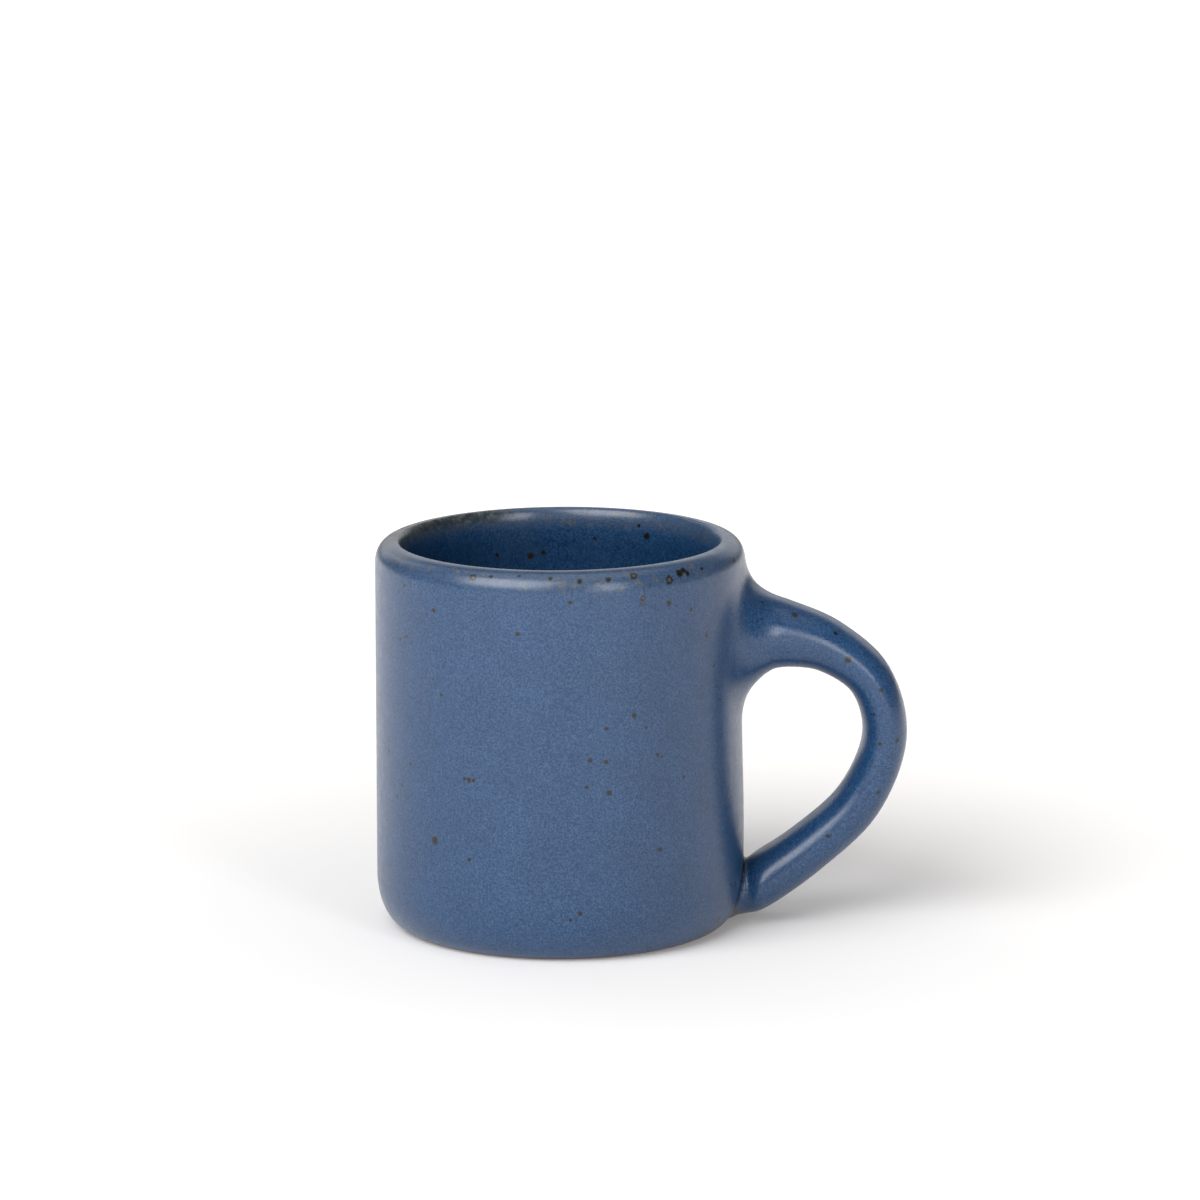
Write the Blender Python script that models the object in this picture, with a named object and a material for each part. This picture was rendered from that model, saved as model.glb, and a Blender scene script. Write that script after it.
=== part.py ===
"""Stoneware mug.

A wheel-thrown cup with a flat foot, a pulled strap handle luted to its wall with two pads of
slip, and a glaze coat over both that stops short of the bare foot.  Metres, +Z up.  The foot
stands on Z = 0, the cup's axis is Z and the handle reaches along +X.
"""

import math

import bmesh
import bpy

MM = 0.001

# Driving dimensions of the finished, glazed mug.
CUP_RADIUS = 41.5 * MM
CUP_HEIGHT = 88.5 * MM
WALL = 5.4 * MM
FLOOR = 6.8 * MM
FOOT_RADIUS = 34.2 * MM
FOOT_CORNER_HEIGHT = 12.5 * MM
GLAZE = 0.7 * MM
GAP = 0.3 * MM
SLIP = 1.0 * MM

# The lip is rounder on its outside than on its inside.
LIP_INNER_REACH = 1.4 * MM
LIP_INNER_DROP = 3.2 * MM
LIP_OUTER_REACH = WALL - LIP_INNER_REACH
LIP_OUTER_DROP = 4.6 * MM

# The hollow's bottom corner.
WELL_CORNER_REACH = 13.0 * MM
WELL_CORNER_HEIGHT = 10.0 * MM

# The foot is wiped clean of glaze up to this height.
BARE_FOOT_HEIGHT = 0.9 * MM
GLAZE_EDGE_HEIGHT = 1.4 * MM

# Distances worked out from the driving dimensions, measured into the glazed surface.
CLAY_INSET = GLAZE + GAP
SLIP_OUTER = SLIP + GAP - CLAY_INSET
HANDLE_END = SLIP_OUTER + GAP
HOLLOW_RADIUS = CUP_RADIUS - WALL
CREST_RADIUS = CUP_RADIUS - LIP_OUTER_REACH

# The handle's centre line from the upper root round to the lower one: the distance out from
# the cup's wall, the height, half the thickness and half the width, in millimetres.
HANDLE_STATIONS = (
    (-3.5, 66.2, 12.4, 11.6),
    (1.0, 66.6, 11.2, 11.2),
    (8.5, 66.5, 7.7, 10.0),
    (19.0, 63.5, 6.05, 9.0),
    (28.5, 55.0, 5.0, 8.4),
    (31.5, 42.5, 4.9, 8.0),
    (25.7, 28.0, 5.1, 7.8),
    (14.2, 16.8, 5.35, 7.8),
    (2.5, 8.6, 5.6, 6.8),
    (-3.0, 6.8, 4.8, 6.6),
)
HANDLE_SECTION_POWER = 2.3

# How finely round shapes are divided.
CUP_SEGMENTS = 60
HANDLE_STEPS_PER_SPAN = 3
HANDLE_SECTION_SEGMENTS = 22
MERGE_DISTANCE = 0.001 * MM

# Colour, roughness and metallic of each fired material.
STONEWARE = ((0.30, 0.20, 0.13), 0.85, 0.0)
SLIP_CLAY = ((0.34, 0.24, 0.16), 0.85, 0.0)
BLUE_GLAZE = ((0.07, 0.15, 0.32), 0.30, 0.0)


def clear_scene():
    for item in list(bpy.data.objects):
        bpy.data.objects.remove(item)


def make_material(name, look):
    colour, roughness, metallic = look
    material = bpy.data.materials.new(name)
    material.use_nodes = True
    shader = material.node_tree.nodes["Principled BSDF"]
    shader.inputs["Base Color"].default_value = (*colour, 1.0)
    shader.inputs["Roughness"].default_value = roughness
    shader.inputs["Metallic"].default_value = metallic
    return material


def corner(centre, reach, rise, first, last, steps, power=2.0):
    """Points of a rounded corner as (radius, height), from one angle to another in degrees."""
    points = []
    for step in range(steps + 1):
        angle = math.radians(first + (last - first) * step / steps)
        across = math.copysign(abs(math.cos(angle)) ** (2.0 / power), math.cos(angle))
        up = math.copysign(abs(math.sin(angle)) ** (2.0 / power), math.sin(angle))
        points.append((centre[0] + reach * across, centre[1] + rise * up))
    return points


def cup_form():
    """The glazed cup's half section, from the foot's edge over the lip to the hollow's floor."""
    foot = corner(
        (FOOT_RADIUS, FOOT_CORNER_HEIGHT),
        CUP_RADIUS - FOOT_RADIUS, FOOT_CORNER_HEIGHT, -90, 0, 12, power=2.2,
    )
    outer_lip = corner(
        (CREST_RADIUS, CUP_HEIGHT - LIP_OUTER_DROP),
        LIP_OUTER_REACH, LIP_OUTER_DROP, 0, 90, 6,
    )
    inner_lip = corner(
        (CREST_RADIUS, CUP_HEIGHT - LIP_INNER_DROP),
        LIP_INNER_REACH, LIP_INNER_DROP, 90, 180, 4,
    )
    well = corner(
        (HOLLOW_RADIUS - WELL_CORNER_REACH, FLOOR + WELL_CORNER_HEIGHT),
        WELL_CORNER_REACH, WELL_CORNER_HEIGHT, 0, -90, 7,
    )
    return foot + outer_lip + inner_lip[1:] + well


def normals_of(outline):
    """Unit normals out of the clay for a half section that runs up the outside."""
    normals = []
    last = len(outline) - 1
    for index in range(len(outline)):
        before = outline[max(index - 1, 0)]
        after = outline[min(index + 1, last)]
        run = after[0] - before[0]
        rise = after[1] - before[1]
        length = math.hypot(run, rise)
        normals.append((rise / length, -run / length))
    return normals


def moved_out(outline, distance):
    """The same outline moved out of the clay by a distance, or into it if that is negative."""
    moved = []
    for point, normal in zip(outline, normals_of(outline)):
        moved.append((point[0] + normal[0] * distance, point[1] + normal[1] * distance))
    return moved


def outside_of(outline):
    """The part of the form's outline up the outside, as far as the crest."""
    crest = max(range(len(outline)), key=lambda index: outline[index][1])
    return outline[: crest + 1]


def add_object(name, work, material=None):
    """Turn a bmesh into a smooth-shaded object of the scene, with its faces pointing out."""
    bmesh.ops.recalc_face_normals(work, faces=work.faces)
    for face in work.faces:
        face.smooth = True
    mesh = bpy.data.meshes.new(name)
    work.to_mesh(mesh)
    work.free()
    item = bpy.data.objects.new(name, mesh)
    bpy.context.scene.collection.objects.link(item)
    if material is not None:
        mesh.materials.append(material)
    return item


def turned(outline, closed=False):
    """A half section spun round Z.  It starts and ends on the axis, or closes on itself."""
    work = bmesh.new()
    points = [work.verts.new((radius, 0.0, height)) for radius, height in outline]
    edges = [work.edges.new(pair) for pair in zip(points, points[1:])]
    if closed:
        edges.append(work.edges.new((points[-1], points[0])))
    bmesh.ops.spin(
        work, geom=points + edges, cent=(0, 0, 0), axis=(0, 0, 1),
        angle=2.0 * math.pi, steps=CUP_SEGMENTS, use_merge=True,
    )
    bmesh.ops.remove_doubles(work, verts=work.verts, dist=MERGE_DISTANCE)
    return work


def curve_through(points, steps):
    """A smooth curve through tuples of numbers, with a number of steps between neighbours."""
    padded = [points[0], *points, points[-1]]
    result = []
    for index in range(1, len(padded) - 2):
        p0, p1, p2, p3 = padded[index - 1: index + 3]
        for step in range(steps):
            t = step / steps
            result.append(tuple(
                0.5 * (2 * b + (c - a) * t
                       + (2 * a - 5 * b + 4 * c - d) * t ** 2
                       + (3 * b - a - 3 * c + d) * t ** 3)
                for a, b, c, d in zip(p0, p1, p2, p3)
            ))
    result.append(points[-1])
    return result


def handle_rings(inset):
    """Cross sections of the handle from root to root, smaller all round by the inset."""
    line = curve_through(HANDLE_STATIONS, HANDLE_STEPS_PER_SPAN)
    centres = [(CUP_RADIUS + out * MM, height * MM) for out, height, _, _ in line]
    rings = []
    for index, (centre, station) in enumerate(zip(centres, line)):
        before = centres[max(index - 1, 0)]
        after = centres[min(index + 1, len(centres) - 1)]
        run = after[0] - before[0]
        rise = after[1] - before[1]
        length = math.hypot(run, rise)
        across = (-rise / length, run / length)
        thickness = station[2] * MM - inset
        width = station[3] * MM - inset
        section = corner(
            (0.0, 0.0), thickness, width, 0, 360, HANDLE_SECTION_SEGMENTS, HANDLE_SECTION_POWER,
        )
        rings.append([
            (centre[0] + across[0] * u, v, centre[1] + across[1] * u) for u, v in section[:-1]
        ])
    return rings


def lofted(rings, closed=False):
    """A skin through equal rings, capped at both ends or joined end to start."""
    work = bmesh.new()
    loops = [[work.verts.new(point) for point in ring] for ring in rings]
    followers = loops[1:] + loops[:1] if closed else loops[1:]
    for low, high in zip(loops, followers):
        for index in range(len(low)):
            after = (index + 1) % len(low)
            work.faces.new((low[index], low[after], high[after], high[index]))
    if not closed:
        work.faces.new(loops[0])
        work.faces.new(loops[-1])
    return work


def combine(target, cutter, operation):
    """Boolean with a cutter object that isn't part of the mug."""
    cutter.hide_render = True
    cutter.display_type = "WIRE"
    modifier = target.modifiers.new(operation.title(), "BOOLEAN")
    modifier.operation = operation
    modifier.solver = "EXACT"
    modifier.object = cutter
    evaluated = target.evaluated_get(bpy.context.evaluated_depsgraph_get())
    mesh = bpy.data.meshes.new_from_object(evaluated)
    target.modifiers.remove(modifier)
    target.data = mesh
    bpy.data.objects.remove(cutter)


def cup_filled(distance):
    """A solid plug with the cup's outside shape, moved out by a distance."""
    side = moved_out(outside_of(cup_form()), distance)
    outline = [(0.0, side[0][1]), *side, (0.0, side[-1][1])]
    return add_object("cutter", turned(outline))


def build_cup_body(clay):
    """The thrown cup: bare at the foot, and set back under the glaze everywhere else."""
    form = cup_form()
    under_glaze = moved_out(form, -CLAY_INSET)
    outline = [(0.0, 0.0)]
    for surface, covered in zip(form, under_glaze):
        is_bare = surface[1] <= BARE_FOOT_HEIGHT
        outline.append(surface if is_bare else covered)
    outline.append((0.0, FLOOR - CLAY_INSET))
    return add_object("cup_body", turned(outline), clay)


def build_handle(clay):
    """The pulled strap, cut off at each root just outside its pad of slip."""
    handle = add_object("handle", lofted(handle_rings(CLAY_INSET)), clay)
    combine(handle, cup_filled(HANDLE_END), "DIFFERENCE")
    return handle


def build_slip_joint(name, is_upper, slip):
    """The pad of slip between one root of the handle and the cup's wall."""
    rings = handle_rings(CLAY_INSET)
    near_root = 2 * HANDLE_STEPS_PER_SPAN
    root = rings[: near_root + 1] if is_upper else rings[-near_root - 1:]
    pad = add_object(name, lofted(root), slip)
    side = outside_of(cup_form())
    layer = moved_out(side, GAP - CLAY_INSET) + moved_out(side, SLIP_OUTER)[::-1]
    combine(pad, add_object("cutter", turned(layer, closed=True)), "INTERSECT")
    return pad


def build_cup_glaze(glaze):
    """The coat over the cup, inside and out, with a hole at each of the handle's roots."""
    form = cup_form()
    start = next(index for index, point in enumerate(form) if point[1] > GLAZE_EDGE_HEIGHT)
    surface = form[start:]
    inner_face = moved_out(form, -GLAZE)[start:]
    outline = [(0.0, FLOOR), *surface[::-1], *inner_face, (0.0, FLOOR - GLAZE)]
    coat = add_object("cup_glaze", turned(outline), glaze)
    combine(coat, add_object("cutter", lofted(handle_rings(GLAZE))), "DIFFERENCE")
    return coat


def build_handle_glaze(glaze):
    """The coat round the handle: a sleeve that stops at the cup's glaze."""
    outer = handle_rings(0.0)
    inner = handle_rings(GLAZE)
    sleeve = add_object("handle_glaze", lofted(outer + inner[::-1], closed=True), glaze)
    combine(sleeve, cup_filled(GAP), "DIFFERENCE")
    return sleeve


def main():
    clear_scene()
    build_cup_body(make_material("stoneware", STONEWARE))
    build_handle(make_material("handle_stoneware", STONEWARE))
    build_slip_joint("upper_slip_joint", True, make_material("upper_slip", SLIP_CLAY))
    build_slip_joint("lower_slip_joint", False, make_material("lower_slip", SLIP_CLAY))
    build_cup_glaze(make_material("cup_glaze", BLUE_GLAZE))
    build_handle_glaze(make_material("handle_glaze", BLUE_GLAZE))


main()
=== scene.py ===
import math

import bmesh
import bpy
import numpy as np
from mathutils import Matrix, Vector


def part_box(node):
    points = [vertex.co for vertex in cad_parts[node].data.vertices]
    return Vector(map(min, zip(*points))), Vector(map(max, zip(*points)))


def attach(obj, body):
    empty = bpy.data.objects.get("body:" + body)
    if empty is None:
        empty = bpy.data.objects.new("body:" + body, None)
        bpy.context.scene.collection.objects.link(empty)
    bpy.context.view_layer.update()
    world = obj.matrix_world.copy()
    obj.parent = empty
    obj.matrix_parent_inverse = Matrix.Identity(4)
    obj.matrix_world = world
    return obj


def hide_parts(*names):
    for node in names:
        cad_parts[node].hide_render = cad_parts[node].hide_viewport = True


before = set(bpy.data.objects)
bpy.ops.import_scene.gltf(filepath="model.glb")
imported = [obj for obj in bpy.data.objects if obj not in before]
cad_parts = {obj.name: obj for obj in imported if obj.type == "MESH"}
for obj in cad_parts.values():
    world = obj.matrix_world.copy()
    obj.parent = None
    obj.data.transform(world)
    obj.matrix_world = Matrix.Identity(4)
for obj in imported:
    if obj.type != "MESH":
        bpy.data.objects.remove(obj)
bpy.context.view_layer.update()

MM = 0.001
# Smaller than this counts as nothing, in metres.
TINY = 1e-6

# The mug's main sizes come from the frame.
CUP_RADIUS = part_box("cup_glaze")[1].y
CUP_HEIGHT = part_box("cup_glaze")[1].z

# The cup's section.
WALL = 5.4 * MM
FLOOR = 6.8 * MM
FOOT_RADIUS = 34.2 * MM
FOOT_CORNER_HEIGHT = 12.5 * MM
FOOT_CORNER_POWER = 2.2
LIP_OUTER_REACH = 4.7 * MM
LIP_OUTER_DROP = 5.3 * MM
LIP_OUTER_POWER = 2.4
LIP_INNER_REACH = WALL - LIP_OUTER_REACH + 0.6 * MM
LIP_INNER_DROP = 3.2 * MM
# A thrown rim is never quite level: this one rises towards the handle, and less towards the back.
RIM_RISE_TO_HANDLE = 0.006
RIM_RISE_TO_BACK = 0.0015
RIM_DROP = 0.325 * MM
# The lean starts part of the way up the wall, and fades out just beyond it on the handle.
LEAN_START = 0.55 * CUP_HEIGHT
LEAN_FADE = 6.0 * MM
WELL_CORNER_REACH = 13.0 * MM
WELL_CORNER_HEIGHT = 10.0 * MM
CREST_RADIUS = CUP_RADIUS - LIP_OUTER_REACH
HOLLOW_RADIUS = CUP_RADIUS - WALL

# The coat of glaze, the clay's distance under its face, and the bare clay's height at the foot.
GLAZE = 0.7 * MM
CLAY_INSET = 1.0 * MM
GLAZE_EDGE_HEIGHT = 0.5 * MM
GLAZE_EDGE_MARGIN = 0.1 * MM

# The handle's centre line: distance out from the wall, height, half thickness, half width, in
# millimetres.  The fillets at the roots are added by the blend with the cup.
HANDLE_STATIONS = (
    (-3.2, 66.8, 10.2, 11.0),
    (1.0, 66.8, 9.6, 10.8),
    (8.5, 66.4, 7.6, 10.0),
    (19.0, 63.4, 5.9, 9.0),
    (28.5, 55.6, 5.1, 8.4),
    (31.65, 42.5, 5.05, 8.0),
    (25.9, 27.8, 5.35, 7.8),
    (14.3, 16.6, 5.6, 7.8),
    (2.5, 8.5, 5.9, 9.3),
    (-3.0, 6.2, 5.2, 9.6),
)
HANDLE_SECTION_POWER = 2.15
# The wall is smoothed in below the upper root, as a hollow for the thumb: its depth, its angle
# either way in degrees, and the heights in millimetres where it starts, is full, fades and ends.
THUMB_DEPTH = 0.5 * MM
THUMB_ANGLE = 22.0
THUMB_START = 22.0
THUMB_FULL = 50.0
THUMB_FADE = 54.0
THUMB_END = 66.0
# How wide the fillet between cup and strap is at rising heights: crisp at the lower root, widest
# under the upper one.
BLEND_HEIGHTS = tuple(share * CUP_HEIGHT for share in (0.30, 0.55, 0.68, 0.84))
BLEND_REACHES = (1.4 * MM, 10.5 * MM, 10.5 * MM, 8.8 * MM)
# Beside the lower root the strap's two edges are pressed in: the middle of each press as distance
# out from the wall, distance either side and height, its reach that way, and its depth, in mm.
PINCH_MIDDLE = (0.0, 9.0, 8.5)
PINCH_REACH = (2.3, 6.0, 9.0)
PINCH_DEPTH = 2.2 * MM

# How finely shapes are divided.
CUP_SEGMENTS = 160
ROW = 1.6 * MM
FLOOR_ROW = 2.5 * ROW
FOOT_STEPS = 24
LIP_OUTER_STEPS = 16
LIP_INNER_STEPS = 12
WELL_STEPS = 16
HANDLE_STEPS_PER_SPAN = 8
HANDLE_SECTION_SEGMENTS = 40
FINE_STEPS_PER_SPAN = 24

# The seams between cup and strap: how far their closeness reaches, the closeness and the edge
# length from which edges are split, how often that is done, and how the faces are evened out.
SEAM_REACH = 7.0 * MM
SEAM_CLOSENESS = 0.02
SEAM_EDGE = 1.0 * MM
SPLIT_ROUNDS = 2
SETTLE_ROUNDS = 6
SETTLE_SHARE = 0.5
# Everything that the handle changes lies further along X than this.
HANDLE_SIDE = 0.5 * CUP_RADIUS
CREASE_REACH = 1.2 * MM


# ---------------------------------------------------------------- the cup's outline

def arc(centre, reach, rise, first, last, steps, power=2.0):
    """Points of a rounded corner as (radius, height), from one angle to another in degrees."""
    angle = np.radians(np.linspace(first, last, steps + 1))
    across = np.sign(np.cos(angle)) * np.abs(np.cos(angle)) ** (2.0 / power)
    up = np.sign(np.sin(angle)) * np.abs(np.sin(angle)) ** (2.0 / power)
    return np.stack([centre[0] + reach * across, centre[1] + rise * up], axis=1)


def line(start, end, step):
    """Points from start to end, without the two ends."""
    start = np.array(start)
    end = np.array(end)
    count = max(int(round(np.linalg.norm(end - start) / step)), 1)
    share = np.arange(1, count)[:, None] / count
    return start + (end - start) * share


def outer_outline():
    """The cup's outside from the foot's edge up to the crest of the lip."""
    foot = arc(
        (FOOT_RADIUS, FOOT_CORNER_HEIGHT), CUP_RADIUS - FOOT_RADIUS, FOOT_CORNER_HEIGHT,
        -90, 0, FOOT_STEPS, FOOT_CORNER_POWER,
    )
    lip = arc(
        (CREST_RADIUS, CUP_HEIGHT - LIP_OUTER_DROP), LIP_OUTER_REACH, LIP_OUTER_DROP,
        0, 90, LIP_OUTER_STEPS, LIP_OUTER_POWER,
    )
    return np.concatenate([foot, line(foot[-1], lip[0], ROW), lip])


def inner_outline():
    """The hollow from just inside the crest down to the middle of its floor."""
    lip = arc(
        (CREST_RADIUS, CUP_HEIGHT - LIP_INNER_DROP), LIP_INNER_REACH, LIP_INNER_DROP,
        90, 180, LIP_INNER_STEPS,
    )
    well = arc(
        (HOLLOW_RADIUS - WELL_CORNER_REACH, FLOOR + WELL_CORNER_HEIGHT),
        WELL_CORNER_REACH, WELL_CORNER_HEIGHT, 0, -90, WELL_STEPS,
    )
    floor = line(well[-1], (0.0, FLOOR), FLOOR_ROW)
    return np.concatenate([lip[1:], line(lip[-1], well[0], ROW), well, floor])


OUTER = outer_outline()
INNER = inner_outline()


# ---------------------------------------------------------------- the mug as one smooth solid

def curve_through(points, steps):
    """A Catmull-Rom curve through rows of numbers."""
    points = np.asarray(points, float)
    padded = np.concatenate([points[:1], points, points[-1:]])
    t = np.arange(steps)[:, None] / steps
    spans = []
    for a, b, c, d in zip(padded, padded[1:], padded[2:], padded[3:]):
        spans.append(0.5 * (
            2 * b + (c - a) * t + (2 * a - 5 * b + 4 * c - d) * t ** 2
            + (3 * b - a - 3 * c + d) * t ** 3
        ))
    spans.append(points[-1:])
    return np.concatenate(spans)


def handle_line(steps):
    """Centres (x, z), outward directions and half sizes along the handle, in metres."""
    stations = curve_through(HANDLE_STATIONS, steps) * MM
    centres = stations[:, :2] + np.array([CUP_RADIUS, 0.0])
    along = np.gradient(centres, axis=0)
    along /= np.linalg.norm(along, axis=1, keepdims=True)
    outward = np.stack([-along[:, 1], along[:, 0]], axis=1)
    return centres, outward, stations[:, 2:]


FINE_CENTRES, FINE_OUTWARD, FINE_SIZES = handle_line(FINE_STEPS_PER_SPAN)
FINE_ALONG = np.stack([FINE_OUTWARD[:, 1], -FINE_OUTWARD[:, 0]], axis=1)
FINE_STEP = np.linalg.norm(np.gradient(FINE_CENTRES, axis=0), axis=1)


def distance_to_cup(points):
    """Signed distance to the cup's outside, negative inside."""
    radius = np.hypot(points[:, 0], points[:, 1])
    flat = np.stack([radius, points[:, 2]], axis=1)
    start = OUTER[:-1]
    span = OUTER[1:] - start
    offset = flat[:, None] - start
    share = np.clip((offset * span).sum(axis=2) / (span ** 2).sum(axis=1), 0.0, 1.0)
    away = offset - share[:, :, None] * span
    far = np.hypot(away[:, :, 0], away[:, :, 1])
    nearest = far.argmin(axis=1)
    every = np.arange(len(points))
    away = away[every, nearest]
    side = span[nearest, 1] * away[:, 0] - span[nearest, 0] * away[:, 1]
    distance = np.where(side > 0, 1.0, -1.0) * far[every, nearest]
    return distance + thumb_hollow(points)


def thumb_hollow(points):
    """How deeply the wall is smoothed in below the handle's upper root."""
    height = points[:, 2] / MM
    angle = np.degrees(np.arctan2(points[:, 1], points[:, 0]))
    rise = smoothstep(THUMB_START, THUMB_FULL, height)
    fall = 1.0 - smoothstep(THUMB_FADE, THUMB_END, height)
    return THUMB_DEPTH * rise * fall * np.exp(-(angle / THUMB_ANGLE) ** 2)


def distance_to_handle(points):
    """Roughly the signed distance to the handle's strap, negative inside."""
    flat = points[:, [0, 2]]
    offset = flat[:, None] - FINE_CENTRES
    nearest = (offset ** 2).sum(axis=2).argmin(axis=1)
    along = FINE_ALONG[nearest]
    past = ((flat - FINE_CENTRES[nearest]) * along).sum(axis=1) / FINE_STEP[nearest]
    just_short_of_the_end = len(FINE_CENTRES) - 1.001
    place = np.clip(nearest + past, 0.0, just_short_of_the_end)
    low = place.astype(int)
    mix = (place - low)[:, None]
    centre = FINE_CENTRES[low] * (1 - mix) + FINE_CENTRES[low + 1] * mix
    outward = FINE_OUTWARD[low] * (1 - mix) + FINE_OUTWARD[low + 1] * mix
    sizes = FINE_SIZES[low] * (1 - mix) + FINE_SIZES[low + 1] * mix
    away = flat - centre
    far = np.hypot(away[:, 0], away[:, 1])
    u = np.where((away * outward).sum(axis=1) > 0, far, -far)
    v = points[:, 1]
    power = HANDLE_SECTION_POWER
    share = (np.abs(u / sizes[:, 0]) ** power + np.abs(v / sizes[:, 1]) ** power) ** (1 / power)
    share = np.maximum(share, TINY)
    return np.hypot(u, v) * (1.0 - 1.0 / share)


def pinch(points):
    """How deeply the strap's edges are pressed in beside the lower root, the same on both sides."""
    place = points * (1.0, 0.0, 1.0) + np.abs(points) * (0.0, 1.0, 0.0) - (CUP_RADIUS, 0.0, 0.0)
    away = (place / MM - PINCH_MIDDLE) / PINCH_REACH
    return PINCH_DEPTH * np.exp(-(away ** 2).sum(axis=1))


def smoothstep(low, high, value):
    """0 up to low and 1 from high on, with a smooth change between."""
    share = np.clip((value - low) / (high - low), 0.0, 1.0)
    return share * share * (3.0 - 2.0 * share)


def mug_field(points):
    """Zero on the mug's outside: the cup and the strap, blended where the strap is joined on.

    Where the two distances differ by less than the reach, a quadratic fillet is added.
    """
    cup = distance_to_cup(points)
    strap = distance_to_handle(points) + pinch(points)
    reach = np.interp(points[:, 2], BLEND_HEIGHTS, BLEND_REACHES)
    near = np.maximum(reach - np.abs(cup - strap), 0.0) / reach
    return np.minimum(cup, strap) - near * near * reach / 4.0


def field_gradient(points):
    """The field's slope along each axis, from small steps either way."""
    step = 0.05 * MM
    slopes = []
    for axis in range(3):
        offset = np.zeros(3)
        offset[axis] = step
        slopes.append((mug_field(points + offset) - mug_field(points - offset)) / (2 * step))
    return np.stack(slopes, axis=1)


def onto_mug(points, rounds=4):
    """Points moved along the field's slope until they lie on the mug's outside."""
    for _ in range(rounds):
        slope = field_gradient(points)
        least_steepness = 0.1
        steepness = np.maximum((slope ** 2).sum(axis=1), least_steepness)
        points = points - slope * (mug_field(points) / steepness)[:, None]
    return points


def leaning(points):
    """Points with the rim's lean added."""
    share = smoothstep(LEAN_START, CUP_HEIGHT, points[:, 2])
    within = 1.0 - smoothstep(CUP_RADIUS, CUP_RADIUS + LEAN_FADE, points[:, 0])
    rise = RIM_RISE_TO_HANDLE * points[:, 0] + RIM_RISE_TO_BACK * points[:, 1] - RIM_DROP
    points = points.copy()
    points[:, 2] += rise * share * within
    return points


# ---------------------------------------------------------------- meshes

def add_object(name, mesh):
    item = bpy.data.objects.new(name, mesh)
    bpy.context.scene.collection.objects.link(item)
    return item


def turned(outline):
    """A bmesh of an outline turned about Z.  It starts and ends on the axis."""
    work = bmesh.new()
    angles = np.arange(CUP_SEGMENTS) * 2.0 * math.pi / CUP_SEGMENTS
    rings = []
    for radius, height in outline:
        if radius < TINY:
            rings.append([work.verts.new((0.0, 0.0, height))] * CUP_SEGMENTS)
        else:
            rings.append([
                work.verts.new((radius * math.cos(a), radius * math.sin(a), height))
                for a in angles
            ])
    for low, high in zip(rings, rings[1:]):
        for index in range(CUP_SEGMENTS):
            after = (index + 1) % CUP_SEGMENTS
            corners = (low[index], low[after], high[after], high[index])
            work.faces.new(list(dict.fromkeys(corners)))
    bmesh.ops.recalc_face_normals(work, faces=work.faces)
    return work


def strap():
    """A bmesh of the handle's strap, closed at both ends inside the cup's wall."""
    work = bmesh.new()
    centres, outward, sizes = handle_line(HANDLE_STEPS_PER_SPAN)
    loops = []
    for centre, side, (thickness, width) in zip(centres, outward, sizes):
        section = arc(
            (0.0, 0.0), thickness, width, 0, 360, HANDLE_SECTION_SEGMENTS, HANDLE_SECTION_POWER,
        )[:-1]
        loops.append([
            work.verts.new((centre[0] + side[0] * u, v, centre[1] + side[1] * u))
            for u, v in section
        ])
    for low, high in zip(loops, loops[1:]):
        for index in range(len(low)):
            after = (index + 1) % len(low)
            work.faces.new((low[index], low[after], high[after], high[index]))
    work.faces.new(loops[0])
    work.faces.new(loops[-1])
    bmesh.ops.recalc_face_normals(work, faces=work.faces)
    return work


def as_mesh(work, name):
    """A bmesh turned into a mesh, and freed."""
    mesh = bpy.data.meshes.new(name)
    work.to_mesh(mesh)
    work.free()
    return mesh


def union_of(first, second):
    """One mesh from two closed ones."""
    target = add_object("target", as_mesh(first, "target"))
    cutter = add_object("cutter", as_mesh(second, "cutter"))
    modifier = target.modifiers.new("Union", "BOOLEAN")
    modifier.operation = "UNION"
    modifier.solver = "EXACT"
    modifier.object = cutter
    evaluated = target.evaluated_get(bpy.context.evaluated_depsgraph_get())
    mesh = bpy.data.meshes.new_from_object(evaluated)
    bpy.data.objects.remove(target)
    bpy.data.objects.remove(cutter)
    return mesh


def positions_of(work):
    return np.array([vertex.co[:] for vertex in work.verts])


def seam_closeness(points):
    """1 at the roots' seams and falling to 0 at SEAM_REACH from either surface."""
    cup = np.abs(distance_to_cup(points))
    handle = np.abs(distance_to_handle(points))
    return 1.0 - smoothstep(0.0, SEAM_REACH, np.maximum(cup, handle))


def is_outside(points):
    """Points on the cup's outside or the handle, and not in the hollow or under the foot."""
    radius = np.hypot(points[:, 0], points[:, 1])
    height = points[:, 2]
    beyond_mid_wall = radius > CUP_RADIUS - 0.5 * WALL
    return (beyond_mid_wall | (height < FLOOR)) & (height > GLAZE_EDGE_HEIGHT + GLAZE_EDGE_MARGIN)


def refine_seams(work):
    """Split the long edges near the handle's roots, so that the fillets are smooth."""
    for _ in range(SPLIT_ROUNDS):
        points = positions_of(work)
        close = (seam_closeness(points) > SEAM_CLOSENESS) & is_outside(points)
        long_edges = [
            edge for edge in work.edges
            if close[edge.verts[0].index] and close[edge.verts[1].index]
            and edge.calc_length() > SEAM_EDGE
        ]
        bmesh.ops.subdivide_edges(work, edges=long_edges, cuts=1)
        work.verts.index_update()
        work.verts.ensure_lookup_table()
    points = positions_of(work)
    close = seam_closeness(points) > 0.0
    faces = [
        face for face in work.faces
        if len(face.verts) != 4 or any(close[vertex.index] for vertex in face.verts)
    ]
    made = bmesh.ops.triangulate(work, faces=faces)
    bmesh.ops.beautify_fill(work, faces=made["faces"], edges=[])


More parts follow.
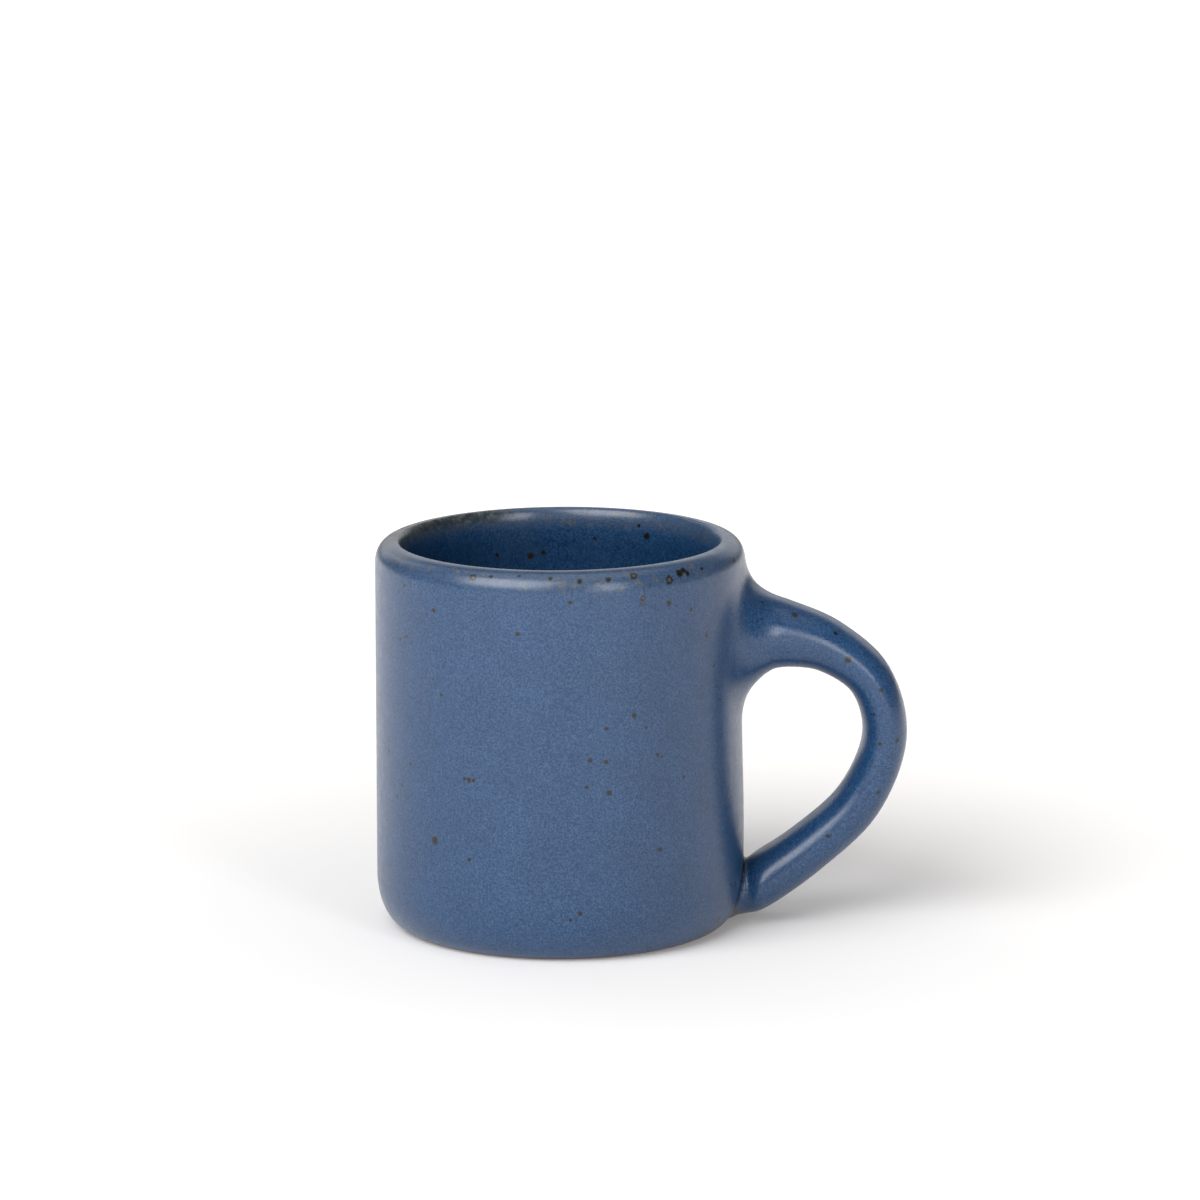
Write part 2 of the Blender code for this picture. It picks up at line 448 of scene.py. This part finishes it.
def settle_on_mug(work):
    """Lay the outside on the blended shape, and even out the faces near the seams."""
    work.verts.ensure_lookup_table()
    points = positions_of(work)
    outside = is_outside(points)
    near = outside & (points[:, 0] > HANDLE_SIDE)
    weight = np.where(outside, seam_closeness(points), 0.0)
    pairs = np.array([[edge.verts[0].index, edge.verts[1].index] for edge in work.edges])
    degree = np.bincount(pairs.ravel(), minlength=len(points)).astype(float)
    points[near] = onto_mug(points[near])
    for _ in range(SETTLE_ROUNDS):
        total = np.zeros_like(points)
        np.add.at(total, pairs[:, 0], points[pairs[:, 1]])
        np.add.at(total, pairs[:, 1], points[pairs[:, 0]])
        mean = total / degree[:, None]
        points = points + (mean - points) * (SETTLE_SHARE * weight)[:, None]
        points[near] = onto_mug(points[near], rounds=2)
    for vertex, point in zip(work.verts, leaning(points)):
        vertex.co = point


def glazed_surface():
    """The glazed skin's outside as an open bmesh, from its edge at the foot over the lip."""
    foot = np.searchsorted(OUTER[:, 1], GLAZE_EDGE_HEIGHT)
    edge_radius = np.interp(GLAZE_EDGE_HEIGHT, OUTER[:, 1], OUTER[:, 0])
    outline = np.concatenate([
        [[0.0, GLAZE_EDGE_HEIGHT], [edge_radius, GLAZE_EDGE_HEIGHT]],
        OUTER[foot:], INNER, [[0.0, FLOOR]],
    ])
    mesh = union_of(turned(outline), strap())
    work = bmesh.new()
    work.from_mesh(mesh)
    well_inside_edge = edge_radius - 0.5 * MM
    under = [
        vertex for vertex in work.verts
        if abs(vertex.co.z - GLAZE_EDGE_HEIGHT) < TINY
        and math.hypot(vertex.co.x, vertex.co.y) < well_inside_edge
    ]
    bmesh.ops.delete(work, geom=under, context="VERTS")
    refine_seams(work)
    settle_on_mug(work)
    return work


def thickened(work, thickness):
    """An open bmesh made into a closed coat by an inner face set back from the first."""
    bmesh.ops.recalc_face_normals(work, faces=work.faces)
    work.normal_update()
    outer = list(work.verts)
    inner = {vertex: work.verts.new(vertex.co - vertex.normal * thickness) for vertex in outer}
    rim = [edge for edge in work.edges if len(edge.link_faces) == 1]
    for face in list(work.faces):
        work.faces.new([inner[vertex] for vertex in reversed(face.verts)])
    for edge in rim:
        loop = edge.link_loops[0]
        first = loop.vert
        second = loop.link_loop_next.vert
        work.faces.new((second, first, inner[first], inner[second]))
    work.normal_update()


def smooth(work):
    for face in work.faces:
        face.smooth = True


def mark_crease(mesh):
    """Store how close each vertex is to the sharp crease round the handle's lower root."""
    points = np.array([vertex.co[:] for vertex in mesh.vertices])
    apart = np.maximum(np.abs(distance_to_cup(points)), np.abs(distance_to_handle(points)))
    close = np.exp(-(apart / CREASE_REACH) ** 2) * (points[:, 2] < BLEND_HEIGHTS[0])
    mesh.attributes.new("crease", "FLOAT", "POINT").data.foreach_set("value", close)


def build_glaze_skin():
    """The coat of glaze over the cup and its handle, open at the foot."""
    work = glazed_surface()
    thickened(work, GLAZE)
    smooth(work)
    skin = add_object("glaze_skin", as_mesh(work, "glaze_skin"))
    mark_crease(skin.data)
    skin.data.materials.append(glaze_material())
    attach(skin, "root")
    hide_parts("cup_glaze", "handle_glaze")


def build_foot_clay():
    """The thrown cup under the glaze, whose foot is bare clay with a softened edge."""
    form = np.concatenate([OUTER, INNER])
    slope = np.gradient(form, axis=0)
    slope /= np.linalg.norm(slope, axis=1, keepdims=True)
    covered = form - np.stack([slope[:, 1], -slope[:, 0]], axis=1) * CLAY_INSET
    bare = (form[:, 1] < GLAZE_EDGE_HEIGHT - GLAZE_EDGE_MARGIN)[:, None]
    outline = np.where(bare, form, covered)
    foot = line((0.0, 0.0), outline[0], ROW)
    outline = np.concatenate([[[0.0, 0.0]], foot, outline, [[0.0, FLOOR - CLAY_INSET]]])
    work = turned(outline)
    points = positions_of(work)
    depth = np.where(is_outside(points), thumb_hollow(points), 0.0)
    radius = np.maximum(np.hypot(points[:, 0], points[:, 1]), MM)
    points[:, :2] *= (1.0 - depth / radius)[:, None]
    for vertex, point in zip(work.verts, leaning(points)):
        vertex.co = point
    smooth(work)
    clay = add_object("thrown_clay", as_mesh(work, "thrown_clay"))
    clay.data.materials.append(clay_material("bare_stoneware", CLAY_COLOURS))
    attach(clay, "root")
    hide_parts("cup_body")


# ---------------------------------------------------------------- materials

# Noise changes a colour or a number between these two of its values.
NOISE_CUTS = (0.3, 0.7)

# The glaze's grain, its larger clouds and what they do to the colour, its uneven gloss, and the
# fine ripple of its face.
GRAIN_SIZE = 0.42 * MM
CLOUD_SIZE = 9.0 * MM
CLOUD_SHADES = (0.95, 1.05)
GLOSS_SIZE = 2.5 * MM
GLOSS_ROUGHNESS = (0.27, 0.33)
RIPPLE_SIZE = 0.6 * MM
RIPPLE_HEIGHT = 0.012 * MM
GLAZE_IOR = 1.58
GLAZE_BLUES = (
    (0.0, (0.001, 0.028, 0.092)), (0.5, (0.0115, 0.050, 0.127)), (1.0, (0.034, 0.078, 0.168)),
)

# Painted shade in the hollow, darker than the glaze outside: how far beyond the hollow's wall and
# how high in its floor it fades, and the depths below the rim between which it sets in.
HOLLOW_PAINTED_SHADE = (0.40, 0.60, 0.65)
HOLLOW_SHADE_EDGE = (0.2 * MM, 1.4 * MM)
HOLLOW_SHADE_FLOOR = (0.7 * FLOOR, 0.95 * FLOOR)
HOLLOW_SHADE_BAND = (9.0 * MM, 2.0 * MM)

# Where the glaze breaks over the lip: bands as depths below the rim, a grey cast, and patches
# with a grain of their own.
LIP_BAND = (4.0 * MM, 1.4 * MM)
SHOULDER_BAND = (5.5 * MM, 3.0 * MM)
LIP_GREY = (0.100, 0.110, 0.110, 1.0)
LIP_GREY_SHARE = 0.22
PATCH_SIZE = 2.6 * MM
PATCH_CUTS = (0.53, 0.66)
BREAK_SHARE = 0.45
BREAK_GRAIN_SIZE = 0.7 * MM
BREAK_GRAIN_CUTS = (0.35, 0.65)
BREAK_COLOURS = ((0.0, (0.045, 0.048, 0.042)), (1.0, (0.135, 0.125, 0.100)))

# The olive stretch of the lip, and the angles round the cup over which it sets in and fades.
OLIVE_START = (-172.0, -150.0)
OLIVE_END = (-96.0, -76.0)
OLIVE_SHARE = 0.85
OLIVE_STREAK_SIZE = 1.5 * MM
OLIVE_STREAK_CUTS = (0.33, 0.66)
OLIVE_COLOURS = (
    (0.0, (0.010, 0.016, 0.016)), (0.5, (0.030, 0.040, 0.041)), (1.0, (0.085, 0.090, 0.080)),
)

# Specks and blisters fade between these distances, in their own radii.
SPECK_EDGE = (1.25, 0.85)
SPECK_CORE = (1.1, 0.2)
CRATER_EDGE = (1.30, 0.95)
CRATER_MIDDLE = (0.62, 0.30)
WOBBLE_SIZE = 0.6 * MM
WOBBLE = 1.4
SPECK_COLOURS = (
    (0.0, (0.014, 0.017, 0.017)), (0.35, (0.008, 0.008, 0.007)), (1.0, (0.003, 0.003, 0.003)),
)
CRATER_COLOUR = (0.060, 0.062, 0.058, 1.0)
CRATER_RIM = (0.012, 0.010, 0.010, 1.0)

# The lower root's crease, painted in dark shade with pale glaze break lines: how close a point is
# to it where it sets in and is full, and its lines, drawn out along Z.
CREASE_CLOSENESS = (0.35, 0.9)
CREASE_LINE_SIZE = 0.9 * MM
CREASE_LINE_STRETCH = (1.0, 1.0, 0.35)
CREASE_LINE_CUTS = (0.35, 0.68)
CREASE_SHADE_AND_LINE_COLOURS = (
    (0.0, (0.004, 0.008, 0.015)), (0.72, (0.009, 0.019, 0.033)), (1.0, (0.130, 0.150, 0.150)),
)

# The thin brown edge of the glaze at the foot below the handle.
EDGE_BROWN = (0.040, 0.036, 0.030, 1.0)
EDGE_BROWN_HEIGHTS = (4.5 * MM, 2.0 * MM)
EDGE_BROWN_ANGLES = (42.0, 24.0)
EDGE_BROWN_SHARE = 0.7
EDGE_PATCH_SIZE = 2.0 * MM
EDGE_PATCH_CUTS = (0.38, 0.55)
HANDLE_ANGLE = 90.0

CLAY_GRAIN_SIZE = 0.4 * MM
CLAY_BUMP = 0.08 * MM
CLAY_ROUGHNESS = (0.75, 0.92)
CLAY_COLOURS = ((0.0, (0.050, 0.030, 0.020)), (1.0, (0.130, 0.080, 0.050)))
SLIP_COLOURS = ((0.0, (0.12, 0.08, 0.05)), (1.0, (0.25, 0.17, 0.11)))


class Nodes:
    """A short way to add nodes to a material and join them up."""

    def __init__(self, name):
        self.material = bpy.data.materials.new(name)
        self.material.use_nodes = True
        self.tree = self.material.node_tree
        self.shader = self.tree.nodes["Principled BSDF"]
        coordinates = self.tree.nodes.new("ShaderNodeTexCoord")
        self.position = coordinates.outputs["Object"]

    def feed(self, socket, value):
        """Join an output to a socket, or set the socket to a plain value."""
        if isinstance(value, bpy.types.NodeSocket):
            self.tree.links.new(value, socket)
        else:
            socket.default_value = value

    def noise(self, size, detail=2.0, roughness=0.5, position=None):
        """Noise whose features are about a given size across."""
        node = self.tree.nodes.new("ShaderNodeTexNoise")
        self.feed(node.inputs["Vector"], position or self.position)
        node.inputs["Scale"].default_value = 1.0 / size
        node.inputs["Detail"].default_value = detail
        node.inputs["Roughness"].default_value = roughness
        return node.outputs["Fac"]

    def cells(self, size):
        """Distance to the nearest of scattered points about a given size apart, in metres."""
        node = self.tree.nodes.new("ShaderNodeTexVoronoi")
        self.feed(node.inputs["Vector"], self.position)
        node.inputs["Scale"].default_value = 1.0 / size
        return self.math("MULTIPLY", node.outputs["Distance"], size)

    def grey(self, value):
        """The same number three times over, as a colour."""
        node = self.tree.nodes.new("ShaderNodeCombineXYZ")
        for socket in node.inputs:
            self.feed(socket, value)
        return node.outputs[0]

    def stored(self, name):
        """A number stored at the mesh's vertices."""
        node = self.tree.nodes.new("ShaderNodeAttribute")
        node.attribute_name = name
        return node.outputs["Fac"]

    def parts(self, vector):
        """The three parts of a vector."""
        node = self.tree.nodes.new("ShaderNodeSeparateXYZ")
        self.feed(node.inputs[0], vector)
        return node.outputs

    def math(self, operation, *values):
        node = self.tree.nodes.new("ShaderNodeMath")
        node.operation = operation
        for socket, value in zip(node.inputs, values):
            self.feed(socket, value)
        return node.outputs[0]

    def vector(self, operation, *values):
        node = self.tree.nodes.new("ShaderNodeVectorMath")
        node.operation = operation
        for socket, value in zip(node.inputs, values):
            self.feed(socket, value)
        name = "Value" if operation in ("DISTANCE", "LENGTH") else "Vector"
        return node.outputs[name]

    def span(self, value, low, high, to_low=0.0, to_high=1.0):
        """A smooth change from one number to another while value goes from low to high."""
        node = self.tree.nodes.new("ShaderNodeMapRange")
        node.interpolation_type = "SMOOTHSTEP"
        self.feed(node.inputs["Value"], value)
        node.inputs["From Min"].default_value = low
        node.inputs["From Max"].default_value = high
        node.inputs["To Min"].default_value = to_low
        node.inputs["To Max"].default_value = to_high
        return node.outputs["Result"]

    def ramp(self, value, stops):
        """A colour from a number, by stops of place and colour."""
        node = self.tree.nodes.new("ShaderNodeValToRGB")
        self.feed(node.inputs["Fac"], value)
        ramp = node.color_ramp
        while len(ramp.elements) < len(stops):
            ramp.elements.new(0.5)
        for element, (place, colour) in zip(ramp.elements, stops):
            element.position = place
            element.color = (*colour, 1.0)
        return node.outputs["Color"]

    def mix(self, share, first, second):
        node = self.tree.nodes.new("ShaderNodeMix")
        node.data_type = "RGBA"
        self.feed(node.inputs[0], share)
        self.feed(node.inputs[6], first)
        self.feed(node.inputs[7], second)
        return node.outputs[2]

    def bump(self, height, distance):
        node = self.tree.nodes.new("ShaderNodeBump")
        node.inputs["Strength"].default_value = 1.0
        node.inputs["Distance"].default_value = distance
        self.feed(node.inputs["Height"], height)
        return node.outputs["Normal"]


# Iron specks placed one by one: angle round the cup in degrees from the front towards the handle,
# height and radius in millimetres.
WALL_SPECKS = (
    (-56, 82.7, 0.45), (-42, 78.5, 0.5), (-58.5, 70, 0.45), (-55, 71, 0.4), (-13, 75, 0.5),
    (3, 82.3, 0.5), (35, 80.5, 0.65), (44, 78, 0.45), (51, 71.5, 0.5), (55, 64, 0.4),
    (23, 56, 0.55), (14, 53.5, 0.45), (27, 53, 0.35), (9, 46.5, 0.5), (14, 46, 0.5),
    (31, 46.5, 0.45), (32.5, 46, 0.35), (15, 39, 0.6), (8, 40.5, 0.4), (41, 40.5, 0.4),
    (-29, 41, 0.6), (-30.5, 41.2, 0.45), (-27.5, 41, 0.45), (-42, 26, 0.95), (-29, 23, 0.45),
    (-61, 33.5, 0.45), (-58, 36.5, 0.4), (-53, 42, 0.4), (-67, 43, 0.5), (-77, 54.5, 0.5),
    (-39, 59.5, 0.4), (32, 25, 0.55), (6, 12, 0.5), (3, 10.5, 0.4), (61, 5, 0.8),
)
RIM_SPECKS = (
    (-22, 87.3, 0.5), (-13, 87.7, 0.35), (-3, 87.4, 0.5), (6, 86.8, 0.6), (15, 86.9, 0.6),
    (40, 86.5, 0.85), (41.8, 87.0, 0.7), (43, 86.3, 0.6), (50, 86.5, 0.4), (70, 85.8, 0.6),
)
INNER_SPECKS = (
    (146, 83.0, 0.8), (149.5, 85.2, 0.4), (-169, 77.4, 0.8), (-173.8, 78.2, 0.6), (-156, 78.2, 0.5),
    (167, 81.6, 0.4),
)
# Blisters: a dark ring round a paler middle.
CRATERS = (
    (26, 82.2, 0.55), (26, 80.8, 0.4), (23.5, 87.2, 0.8), (35.5, 85.5, 0.85), (-28, 86.9, 0.75),
)
# Specks on the handle's near side: distance from the cup's axis, height and radius in mm.
HANDLE_SPECKS = (
    (47.7, 77.3, 0.4), (53.9, 75.2, 0.75), (63.3, 70, 0.5), (64.5, 62, 0.8), (72, 55, 0.5),
    (69.6, 49, 0.35), (77.0, 43, 0.5), (71.4, 42.5, 0.45), (72, 31, 0.4), (60.2, 21.2, 0.5),
)
# The handle's near side is towards -Y.
HANDLE_NEAR_SIDE = -8.5 * MM
# The side away from the front has scattered specks instead, which fade in behind the axis.
FAR_SPECK_SPACING = 6.0 * MM
FAR_SPECK_RADIUS = 0.55 * MM
FAR_SIDE_FADE = 6.0 * MM
OUT_OF_REACH = 9.0


def round_the_cup(angle, height, outline):
    """A point of the cup at an angle from the front, on the outside or in the hollow."""
    turn = math.radians(angle)
    order = np.argsort(outline[:, 1])
    radius = np.interp(height, outline[order, 1], outline[order, 0])
    point = np.array([[radius * math.sin(turn), -radius * math.cos(turn), height]])
    return tuple(leaning(point)[0])


def on_the_cup(specks, outline):
    """Specks as centres and radii in metres, on the cup's outside or in the hollow."""
    return [
        (round_the_cup(angle, height * MM, outline), radius * MM)
        for angle, height, radius in specks
    ]


def on_the_handle(specks):
    """Specks as centres and radii in metres, laid on the handle's near side."""
    start = np.array([(x * MM, HANDLE_NEAR_SIDE, z * MM) for x, z, _ in specks])
    return [(tuple(point), speck[2] * MM) for point, speck in zip(onto_mug(start), specks)]


def nearest_speck(nodes, specks):
    """Distance to the nearest speck, counted in that speck's own radius."""
    nearest = None
    for centre, radius in specks:
        away = nodes.math("DIVIDE", nodes.vector("DISTANCE", nodes.position, centre), radius)
        nearest = away if nearest is None else nodes.math("MINIMUM", nearest, away)
    return nearest


def rim_band(nodes, height, band, *values):
    """A smooth change over a band of heights, given as two depths below the rim."""
    return nodes.span(height, CUP_HEIGHT - band[0], CUP_HEIGHT - band[1], *values)


class GlazeMasks:
    """Where on the mug a point of the glaze is, as node values."""

    def __init__(self, nodes):
        x, y, z = nodes.parts(nodes.position)
        self.height = z
        radius = nodes.vector("LENGTH", nodes.vector("MULTIPLY", nodes.position, (1.0, 1.0, 0.0)))
        backwards = nodes.math("MULTIPLY", y, -1.0)
        self.angle = nodes.math("DEGREES", nodes.math("ARCTAN2", x, backwards))
        # Where painted shade darkens the hollow, more so deeper below the rim.
        start, end = HOLLOW_SHADE_EDGE
        within = nodes.span(radius, HOLLOW_RADIUS + start, HOLLOW_RADIUS + end, 1.0, 0.0)
        self.shaded_hollow = nodes.math("MULTIPLY", within, nodes.span(z, *HOLLOW_SHADE_FLOOR))
        self.deepening_shade = rim_band(nodes, z, HOLLOW_SHADE_BAND, 1.0, 0.0)
        self.lip = rim_band(nodes, z, LIP_BAND)
        self.shoulder = rim_band(nodes, z, SHOULDER_BAND)
        outside = nodes.math("SUBTRACT", 1.0, self.shaded_hollow)
        self.far_side = nodes.math("MULTIPLY", nodes.span(y, 0.0, FAR_SIDE_FADE), outside)


def speckled(nodes, masks, colour):
    """Iron specks and blisters over a colour."""
    uneven = nodes.math("SUBTRACT", nodes.noise(WOBBLE_SIZE), 0.5)
    wobble = nodes.math("MULTIPLY", uneven, WOBBLE)
    specks = on_the_cup(WALL_SPECKS + RIM_SPECKS, OUTER) + on_the_cup(INNER_SPECKS, INNER)
    placed = nearest_speck(nodes, specks + on_the_handle(HANDLE_SPECKS))
    scattered = nodes.math("DIVIDE", nodes.cells(FAR_SPECK_SPACING), FAR_SPECK_RADIUS)
    near_side = nodes.math("SUBTRACT", 1.0, masks.far_side)
    hidden = nodes.math("MULTIPLY", near_side, OUT_OF_REACH)
    away = nodes.math("MINIMUM", placed, nodes.math("ADD", scattered, hidden))
    away = nodes.math("ADD", away, wobble)
    dark = nodes.ramp(nodes.span(away, *SPECK_CORE), SPECK_COLOURS)
    colour = nodes.mix(nodes.span(away, *SPECK_EDGE), colour, dark)

    ring = nodes.math("ADD", nearest_speck(nodes, on_the_cup(CRATERS, OUTER)), wobble)
    middle = nodes.mix(nodes.span(ring, *CRATER_MIDDLE), CRATER_RIM, CRATER_COLOUR)
    return nodes.mix(nodes.span(ring, *CRATER_EDGE), colour, middle)


def broken_glaze(nodes, masks, colour):
    """Paler patches where the glaze runs thin over the lip, and an olive stretch behind left."""
    grey_share = nodes.math("MULTIPLY", masks.shoulder, LIP_GREY_SHARE)
    colour = nodes.mix(grey_share, colour, LIP_GREY)

    patches = nodes.span(nodes.noise(PATCH_SIZE, detail=3.0, roughness=0.65), *PATCH_CUTS)
    grain = nodes.noise(BREAK_GRAIN_SIZE, detail=3.0, roughness=0.7)
    broken = nodes.ramp(nodes.span(grain, *BREAK_GRAIN_CUTS), BREAK_COLOURS)
    share = nodes.math("MULTIPLY", nodes.math("MULTIPLY", masks.shoulder, patches), BREAK_SHARE)
    colour = nodes.mix(share, colour, broken)

    after_start = nodes.span(masks.angle, *OLIVE_START)
    before_end = nodes.span(masks.angle, *OLIVE_END, 1.0, 0.0)
    behind_left = nodes.math("MULTIPLY", after_start, before_end)
    streaks = nodes.noise(OLIVE_STREAK_SIZE, detail=4.0, roughness=0.7)
    olive = nodes.ramp(nodes.span(streaks, *OLIVE_STREAK_CUTS), OLIVE_COLOURS)
    share = nodes.math("MULTIPLY", nodes.math("MULTIPLY", masks.lip, behind_left), OLIVE_SHARE)
    return nodes.mix(share, colour, olive)


def crease_shade_and_lines(nodes, colour):
    """Painted dark shade and pale glaze break lines in the crease round the handle's lower root."""
    stretched = nodes.vector("MULTIPLY", nodes.position, CREASE_LINE_STRETCH)
    lines = nodes.noise(CREASE_LINE_SIZE, detail=3.0, roughness=0.6, position=stretched)
    shade_and_lines = nodes.ramp(nodes.span(lines, *CREASE_LINE_CUTS), CREASE_SHADE_AND_LINE_COLOURS)
    return nodes.mix(nodes.span(nodes.stored("crease"), *CREASE_CLOSENESS), colour, shade_and_lines)


def browned_edge(nodes, masks, colour):
    """A thin, patchy brown edge at the foot below the handle."""
    low = nodes.span(masks.height, *EDGE_BROWN_HEIGHTS)
    from_handle = nodes.math("ABSOLUTE", nodes.math("SUBTRACT", masks.angle, HANDLE_ANGLE))
    below_handle = nodes.span(from_handle, *EDGE_BROWN_ANGLES)
    patchy = nodes.span(nodes.noise(EDGE_PATCH_SIZE, detail=3.0), *EDGE_PATCH_CUTS)
    share = nodes.math("MULTIPLY", nodes.math("MULTIPLY", low, below_handle), patchy)
    return nodes.mix(nodes.math("MULTIPLY", share, EDGE_BROWN_SHARE), colour, EDGE_BROWN)


def glaze_material():
    """A satin blue glaze with grain, specks and broken patches."""
    nodes = Nodes("speckled_glaze")
    masks = GlazeMasks(nodes)
    grain = nodes.noise(GRAIN_SIZE, detail=2.0, roughness=0.6)
    colour = nodes.ramp(nodes.span(grain, *NOISE_CUTS), GLAZE_BLUES)
    cloud = nodes.span(nodes.noise(CLOUD_SIZE, detail=3.0), *NOISE_CUTS, *CLOUD_SHADES)
    # Painted shade: the glaze in the hollow is darkened from below the rim down to its floor.
    hollow_shade = nodes.math("MULTIPLY", masks.shaded_hollow, masks.deepening_shade)
    shade_tint = nodes.mix(hollow_shade, (1.0, 1.0, 1.0, 1.0), (*HOLLOW_PAINTED_SHADE, 1.0))
    colour = nodes.vector("MULTIPLY", nodes.vector("MULTIPLY", colour, shade_tint), nodes.grey(cloud))
    colour = broken_glaze(nodes, masks, colour)
    # Painted shade in the crease at the lower root, with pale break lines of the glaze.
    colour = crease_shade_and_lines(nodes, colour)
    colour = browned_edge(nodes, masks, colour)
    colour = speckled(nodes, masks, colour)
    nodes.feed(nodes.shader.inputs["Base Color"], colour)
    gloss = nodes.span(nodes.noise(GLOSS_SIZE, detail=4.0), *NOISE_CUTS, *GLOSS_ROUGHNESS)
    nodes.feed(nodes.shader.inputs["Roughness"], gloss)
    ripple = nodes.bump(nodes.noise(RIPPLE_SIZE, detail=2.0), RIPPLE_HEIGHT)
    nodes.feed(nodes.shader.inputs["Normal"], ripple)
    nodes.shader.inputs["IOR"].default_value = GLAZE_IOR
    return nodes.material


def clay_material(name, colours):
    """Dull, grainy fired clay."""
    nodes = Nodes(name)
    inputs = nodes.shader.inputs
    grain = nodes.noise(CLAY_GRAIN_SIZE, detail=4.0, roughness=0.7)
    nodes.feed(inputs["Base Color"], nodes.ramp(nodes.span(grain, *NOISE_CUTS), colours))
    nodes.feed(inputs["Roughness"], nodes.span(grain, *NOISE_CUTS, *CLAY_ROUGHNESS))
    nodes.feed(inputs["Normal"], nodes.bump(grain, CLAY_BUMP))
    return nodes.material


def finish_hidden_clay():
    """Better materials for the CAD pieces that the glaze covers."""
    clay = clay_material("handle_stoneware", CLAY_COLOURS)
    slip = clay_material("fired_slip", SLIP_COLOURS)
    materials = {"handle": clay, "upper_slip_joint": slip, "lower_slip_joint": slip}
    for name, material in materials.items():
        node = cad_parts[name]
        node.data.materials.clear()
        node.data.materials.append(material)


# ---------------------------------------------------------------- the studio

# The camera: distances in metres, angles in degrees, lens and sensor in millimetres.
CAMERA_BACK = 1.341
CAMERA_HEIGHT = 0.349
CAMERA_PITCH = 11.59
CAMERA_YAW = -0.383
LENS = 182.8
SENSOR = 36.0
CLIP_START = 0.05

PAPER_RADIUS = 2.2
PAPER_SEGMENTS = 96
PAPER_COLOUR = (0.77, 0.77, 0.77, 1.0)
PAPER_ROUGHNESS = 0.9
PAPER_SPECULAR = 0.1
# The paper glows, so that it turns white away from the mug: its colour, its strength under the
# mug, and what it gains from one distance to another, in metres.
GLOW_COLOUR = (1.0, 0.93, 0.89, 1.0)
GLOW_NEAR = 0.15
GLOW_STEPS = ((0.06, 0.22, 0.22), (0.22, 0.80, 0.45))
WORLD_LIGHT = 0.12
WORLD_SEEN = 1.05

# Softboxes: the direction they stand in, in degrees from the front towards the handle, how high
# they stand, in degrees, their width and height in metres, and their power in watts.
SOFTBOX_DISTANCE = 2.4
SOFTBOXES = (
    ("key_softbox", -38, 38, 2.1, 1.8, 68.0),
    ("fill_softbox", 31, 19, 0.5, 1.3, 15.0),
    ("front_low", -10, 6, 2.8, 0.9, 3.5),
    ("top_softbox", 0, 88, 2.6, 2.6, 19.0),
    ("back_wall", 180, 18, 3.6, 1.1, 11.0),
    ("left_kicker", -135, 35, 0.8, 0.8, 2.0),
)


def build_camera():
    """A long lens a little above the rim, looking down at the mug."""
    data = bpy.data.cameras.new("camera")
    data.lens = LENS
    data.sensor_width = SENSOR
    data.clip_start = CLIP_START
    camera = bpy.data.objects.new("camera", data)
    camera.location = (0.0, -CAMERA_BACK, CAMERA_HEIGHT)
    camera.rotation_euler = (math.radians(90.0 - CAMERA_PITCH), 0.0, math.radians(CAMERA_YAW))
    bpy.context.scene.collection.objects.link(camera)
    bpy.context.scene.camera = camera


def build_softboxes():
    """Soft lights round the mug, all aimed at its middle."""
    target = Vector((0.0, 0.0, 0.5 * CUP_HEIGHT))
    for name, angle, elevation, width, height, power in SOFTBOXES:
        data = bpy.data.lights.new(name, "AREA")
        data.shape = "RECTANGLE"
        data.size = width
        data.size_y = height
        data.energy = power
        light = bpy.data.objects.new(name, data)
        turn = math.radians(angle)
        rise = math.radians(elevation)
        direction = Vector((
            math.sin(turn) * math.cos(rise), -math.cos(turn) * math.cos(rise), math.sin(rise),
        ))
        light.location = target + direction * SOFTBOX_DISTANCE
        light.rotation_euler = direction.to_track_quat("Z", "Y").to_euler()
        bpy.context.scene.collection.objects.link(light)


def build_floor():
    """White paper that fills the view, and glows more the further it is from the mug."""
    work = bmesh.new()
    bmesh.ops.create_circle(work, cap_ends=True, segments=PAPER_SEGMENTS, radius=PAPER_RADIUS)
    floor = add_object("studio_floor", as_mesh(work, "studio_floor"))
    nodes = Nodes("white_paper")
    shader = nodes.shader
    shader.inputs["Base Color"].default_value = PAPER_COLOUR
    shader.inputs["Roughness"].default_value = PAPER_ROUGHNESS
    shader.inputs["Specular IOR Level"].default_value = PAPER_SPECULAR
    shader.inputs["Emission Color"].default_value = GLOW_COLOUR
    away = nodes.vector("LENGTH", nodes.position)
    glow = GLOW_NEAR
    for near, far, gain in GLOW_STEPS:
        glow = nodes.math("ADD", nodes.span(away, near, far, 0.0, gain), glow)
    nodes.feed(shader.inputs["Emission Strength"], glow)
    floor.data.materials.append(nodes.material)


def build_world():
    """Pale surroundings that look bright to the camera, but light the mug only faintly."""
    world = bpy.data.worlds.new("studio")
    world.use_nodes = True
    bpy.context.scene.world = world
    tree = world.node_tree
    tree.nodes.clear()
    seen = tree.nodes.new("ShaderNodeBackground")
    seen.inputs["Strength"].default_value = WORLD_SEEN
    lit = tree.nodes.new("ShaderNodeBackground")
    lit.inputs["Strength"].default_value = WORLD_LIGHT
    path = tree.nodes.new("ShaderNodeLightPath")
    choose = tree.nodes.new("ShaderNodeMixShader")
    output = tree.nodes.new("ShaderNodeOutputWorld")
    tree.links.new(path.outputs["Is Camera Ray"], choose.inputs[0])
    tree.links.new(lit.outputs[0], choose.inputs[1])
    tree.links.new(seen.outputs[0], choose.inputs[2])
    tree.links.new(choose.outputs[0], output.inputs["Surface"])
    bpy.context.scene.view_settings.view_transform = "Standard"


build_camera()
build_glaze_skin()
build_foot_clay()
finish_hidden_clay()
build_floor()
build_softboxes()
build_world()
